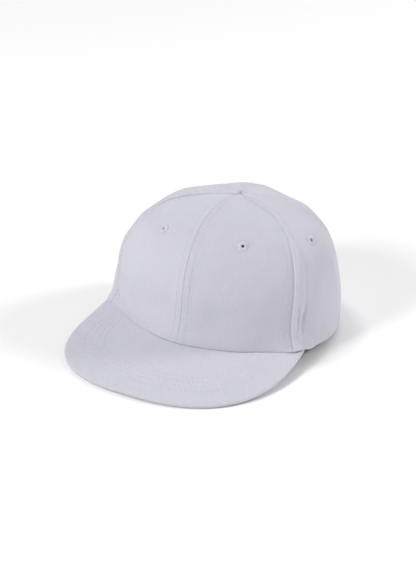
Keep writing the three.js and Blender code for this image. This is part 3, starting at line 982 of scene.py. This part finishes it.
def edge_reach(x, y):
    """How far outside the crown's lower edge a place on the bill lies."""
    angle = np.linspace(-REACH_ANGLE, REACH_ANGLE, REACH_SAMPLES)
    line = edge_point(angle)
    polar = np.arctan2(line[:, 0], -line[:, 1])
    reach = np.hypot(line[:, 0], line[:, 1])
    return np.hypot(x, y) - np.interp(np.arctan2(x, -y), polar, reach)


def bill_stitches(number, inset, material):
    """One row of stitches at a distance from the outer edge, above and below."""
    way = unit(np.gradient(OUTLINE, axis=0))
    inward = np.stack([-way[:, 1], way[:, 0]], -1)
    line = OUTLINE + inward * inset
    line = line[edge_reach(line[:, 0], line[:, 1]) > BILL_STITCH_CLEAR]
    along = lengths_along(line)
    marks = np.arange(BILL_FIRST_STITCH, along[-1], BILL_PITCH)
    plan = np.stack([np.interp(marks, along, line[:, axis]) for axis in (0, 1)], -1)
    x, y = plan[:, 0], plan[:, 1]
    relief = bill_relief(x, y, np.full(len(x), float(inset)))
    tangent = np.gradient(plan, axis=0)
    slope_x, slope_y = -2 * BILL_ARCH * x, np.full(len(x), BILL_SLOPE)
    normal = unit(np.stack([-slope_x, -slope_y, np.ones(len(x))], -1))
    rise = tangent[:, 0] * slope_x + tangent[:, 1] * slope_y
    tangent = unit(np.concatenate([tangent, rise[:, None]], -1))
    top = np.concatenate([plan, (bill_top(x, y) + relief)[:, None]], -1)
    bottom = bill_top(x, y) - BILL_THICKNESS - BILL_UNDER_SHARE * relief
    under = np.concatenate([plan, bottom[:, None]], -1)
    return stitches(
        f"bill_stitch_row_{number}",
        np.concatenate([top, under]),
        np.concatenate([tangent, tangent]),
        np.concatenate([normal, -normal]),
        BILL_PITCH * BILL_SHARE, BILL_THREAD, material, seed=BILL_STITCH_SEED + number,
    )


# Materials

def node(tree, kind, **settings):
    """A new shader node, with values for its sockets and settings by name."""
    made = tree.nodes.new(kind)
    for key, value in settings.items():
        if key in made.inputs:
            made.inputs[key].default_value = value
        else:
            setattr(made, key, value)
    return made


def times_plus(tree, value, factor, addend):
    """Output of a node that multiplies one output by a number and adds another output."""
    made = node(tree, "ShaderNodeMath", operation="MULTIPLY_ADD")
    tree.links.new(value, made.inputs[0])
    made.inputs[1].default_value = factor
    tree.links.new(addend, made.inputs[2])
    return made.outputs[0]


def cloth_material(name, rib_turn, painted_shading=(1, 1, 1), weave_depth=1.0):
    """Cotton twill: diagonal ribs, single yarns, uneven dye and a soft sheen, with its colour scaled by a
    factor of painted light and shade.
    """
    material = bpy.data.materials.new(name)
    material.use_nodes = True
    tree = material.node_tree
    link = tree.links.new
    shader = tree.nodes["Principled BSDF"]
    shader.inputs["Roughness"].default_value = 0.92
    shader.inputs["Specular IOR Level"].default_value = 0.18
    shader.inputs["Sheen Weight"].default_value = 0.18
    shader.inputs["Sheen Roughness"].default_value = 0.55
    place = node(tree, "ShaderNodeAttribute", attribute_name="cloth")

    turned = node(tree, "ShaderNodeMapping")
    turned.inputs["Rotation"].default_value = (0, 0, math.radians(rib_turn))
    link(place.outputs["Vector"], turned.inputs["Vector"])
    ribs = node(tree, "ShaderNodeTexWave", Scale=0.19, Distortion=1.2, Detail=2.0)
    ribs.inputs["Detail Scale"].default_value = 1.2
    link(turned.outputs["Vector"], ribs.inputs["Vector"])
    yarns = node(tree, "ShaderNodeTexWave", Scale=0.85, Distortion=0.8, Detail=1.0, bands_direction="X")
    link(place.outputs["Vector"], yarns.inputs["Vector"])

    stretched = node(tree, "ShaderNodeMapping")
    stretched.inputs["Scale"].default_value = (0.9, 0.07, 1)
    link(place.outputs["Vector"], stretched.inputs["Vector"])
    slubs = node(tree, "ShaderNodeTexNoise", Scale=1.0, Detail=3.0, Roughness=0.55)
    link(stretched.outputs["Vector"], slubs.inputs["Vector"])
    cloudy = node(tree, "ShaderNodeTexNoise", Scale=0.035, Detail=3.0, Roughness=0.5)
    link(place.outputs["Vector"], cloudy.inputs["Vector"])

    weave = times_plus(tree, yarns.outputs["Fac"], YARN_IN_HEIGHT, ribs.outputs["Fac"])
    height = times_plus(tree, slubs.outputs["Fac"], SLUB_IN_HEIGHT, weave)
    bump = node(tree, "ShaderNodeBump", Strength=weave_depth, Distance=WEAVE_HEIGHT)
    link(height, bump.inputs["Height"])
    link(bump.outputs["Normal"], shader.inputs["Normal"])

    clouds = node(tree, "ShaderNodeMath", operation="MULTIPLY")
    link(cloudy.outputs["Fac"], clouds.inputs[0])
    clouds.inputs[1].default_value = CLOUD_IN_TONE
    shade = times_plus(tree, ribs.outputs["Fac"], RIB_IN_TONE, clouds.outputs[0])
    tone = times_plus(tree, slubs.outputs["Fac"], SLUB_IN_TONE, shade)
    mix = node(tree, "ShaderNodeMix", data_type="RGBA")
    link(tone, mix.inputs["Factor"])
    # Painted light and shade: both colours are scaled by the panel's factor, which darkens the front
    # panels and lightens the wearer's left side panel a little, as light falls on them.
    mix.inputs["A"].default_value = (*(np.array(CLOTH_DARK) * painted_shading), 1)
    mix.inputs["B"].default_value = (*(np.array(CLOTH_LIGHT) * painted_shading), 1)
    link(mix.outputs["Result"], shader.inputs["Base Color"])
    return material


def thread_material(name, light, dark):
    """Spun sewing thread: a fine twist and a little gloss."""
    material = bpy.data.materials.new(name)
    material.use_nodes = True
    tree = material.node_tree
    link = tree.links.new
    shader = tree.nodes["Principled BSDF"]
    shader.inputs["Roughness"].default_value = 0.62
    shader.inputs["Specular IOR Level"].default_value = 0.3
    shader.inputs["Sheen Weight"].default_value = 0.15
    place = node(tree, "ShaderNodeTexCoord")
    fibres = node(tree, "ShaderNodeTexNoise", Scale=5200.0, Detail=2.0)
    link(place.outputs["Object"], fibres.inputs["Vector"])
    uneven = node(tree, "ShaderNodeTexNoise", Scale=380.0, Detail=2.0)
    link(place.outputs["Object"], uneven.inputs["Vector"])
    bump = node(tree, "ShaderNodeBump", Strength=0.6, Distance=FIBRE_HEIGHT)
    link(fibres.outputs["Fac"], bump.inputs["Height"])
    link(bump.outputs["Normal"], shader.inputs["Normal"])
    mix = node(tree, "ShaderNodeMix", data_type="RGBA")
    link(uneven.outputs["Fac"], mix.inputs["Factor"])
    mix.inputs["A"].default_value = (*dark, 1)
    mix.inputs["B"].default_value = (*light, 1)
    link(mix.outputs["Result"], shader.inputs["Base Color"])
    return material


def plain_material(name, colour, roughness):
    """One even colour, for the floor."""
    material = bpy.data.materials.new(name)
    material.use_nodes = True
    shader = material.node_tree.nodes["Principled BSDF"]
    shader.inputs["Base Color"].default_value = (*colour, 1)
    shader.inputs["Roughness"].default_value = roughness
    return material


bill_cloth = cloth_material("bill_twill", BILL_RIBS)
thread = thread_material("sewing_thread", THREAD_LIGHT, THREAD_DARK)

seats = {}
for row in PANELS:
    # Each panel's cloth gets its own factor of painted light and shade on its colour.
    cloth = cloth_material(f"twill_{row['name']}", row["ribs"], row["painted_shading"], row["weave"])
    seats[row["name"]] = crown_panel(row, cloth)
    eyelet_ring(row, seats[row["name"]], thread)
for seam_index in range(len(SEAM_ROWS)):
    seam_stitches(seam_index, thread)
bill(bill_cloth)
for row_number, row_inset in enumerate(BILL_STITCH_ROWS, 1):
    bill_stitches(row_number, row_inset, thread)
stray_thread(seats["front_left"], thread)


# Camera, floor and light

def point_in_frame(point):
    """A point in millimetres round the cap's own origin, in the metres of the frame."""
    return Vector((np.array(point, float) + ORIGIN) * MM)


def backwards(azimuth, elevation):
    """Direction from the cap towards a camera or light, from its azimuth and elevation in degrees."""
    turned, raised = math.radians(azimuth), math.radians(elevation)
    level = math.cos(raised)
    return Vector((math.sin(turned) * level, -math.cos(turned) * level, math.sin(raised)))


def look_back(thing, back, target, distance):
    """Puts a camera or light at a distance from a point of the cap, and turns it to face that point."""
    thing.rotation_euler = back.to_track_quat("Z", "Y").to_euler()
    thing.location = point_in_frame(target) + back * distance


def soft_light(name, azimuth, elevation, power):
    """Round area light that shines on the cap."""
    lamp = bpy.data.objects.new(name, bpy.data.lights.new(name, "AREA"))
    lamp.data.shape = "DISK"
    lamp.data.size = LIGHT_SIZE
    lamp.data.energy = power
    bpy.context.scene.collection.objects.link(lamp)
    look_back(lamp, backwards(azimuth, elevation), LIGHT_TARGET, LIGHT_DISTANCE)


camera = bpy.data.objects.new("camera", bpy.data.cameras.new("camera"))
bpy.context.scene.collection.objects.link(camera)
camera.data.lens = CAMERA_LENS
camera.data.sensor_width = CAMERA_SENSOR
camera.data.clip_end = CAMERA_FAR_LIMIT
look_back(camera, backwards(CAMERA_AZIMUTH, CAMERA_ELEVATION), CAMERA_TARGET, CAMERA_DISTANCE * MM)
bpy.context.scene.camera = camera

corners = [(-1, -1), (1, -1), (1, 1), (-1, 1)]
floor_mesh = bpy.data.meshes.new("floor")
floor_mesh.from_pydata([(x * FLOOR_HALF, y * FLOOR_HALF, 0) for x, y in corners], [], [(0, 1, 2, 3)])
floor = bpy.data.objects.new("floor", floor_mesh)
bpy.context.scene.collection.objects.link(floor)
floor_mesh.materials.append(plain_material("pale_floor", FLOOR_COLOUR, FLOOR_ROUGHNESS))

for row in LIGHT_ROWS:
    soft_light(**row)

world = bpy.data.worlds.new("studio")
bpy.context.scene.world = world
world.use_nodes = True
world.node_tree.nodes["Background"].inputs["Color"].default_value = WORLD_COLOUR
world.node_tree.nodes["Background"].inputs["Strength"].default_value = WORLD_STRENGTH
bpy.context.scene.view_settings.view_transform = "Standard"

bpy.context.view_layer.update()
